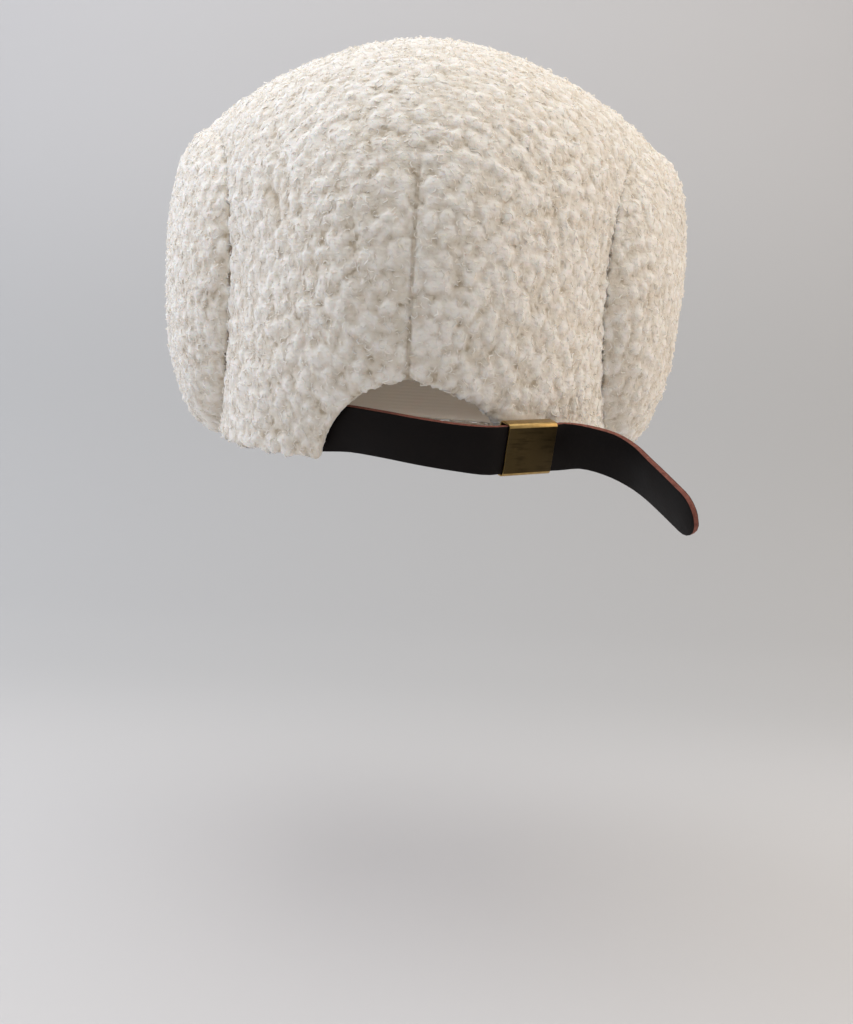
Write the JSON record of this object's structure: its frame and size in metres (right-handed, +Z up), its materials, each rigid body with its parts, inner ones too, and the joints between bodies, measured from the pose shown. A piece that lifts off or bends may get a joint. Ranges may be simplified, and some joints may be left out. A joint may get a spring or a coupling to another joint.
{
  "type": "hunting cap",
  "caption": "Thick boucle hunting cap with a round crown, D-shaped side panels, a short front peak and an arched back notch closed by a leather strap and brass slide buckle.",
  "frame": {"origin": "the middle of the head opening, in the plane of the rim at the sides", "axes": "+Z up through the crown, -Y forwards to the peak, +Y to the back notch and strap, +X to the wearer's left"},
  "size_m": [0.2222, 0.2711, 0.1823],
  "materials": {
    "boucle": "cream wool boucle with a curled pile",
    "leather": "black smooth leather with a reddish raw edge",
    "brass": "antique brass sheet with worn bright edges"
  },
  "bodies": {
    "root": {"top_panel": "boucle", "side_panel_left": "boucle", "side_panel_right": "boucle", "peak": "boucle", "strap": "leather", "buckle_tab": "leather", "buckle": "brass"}
  },
  "joints": []
}
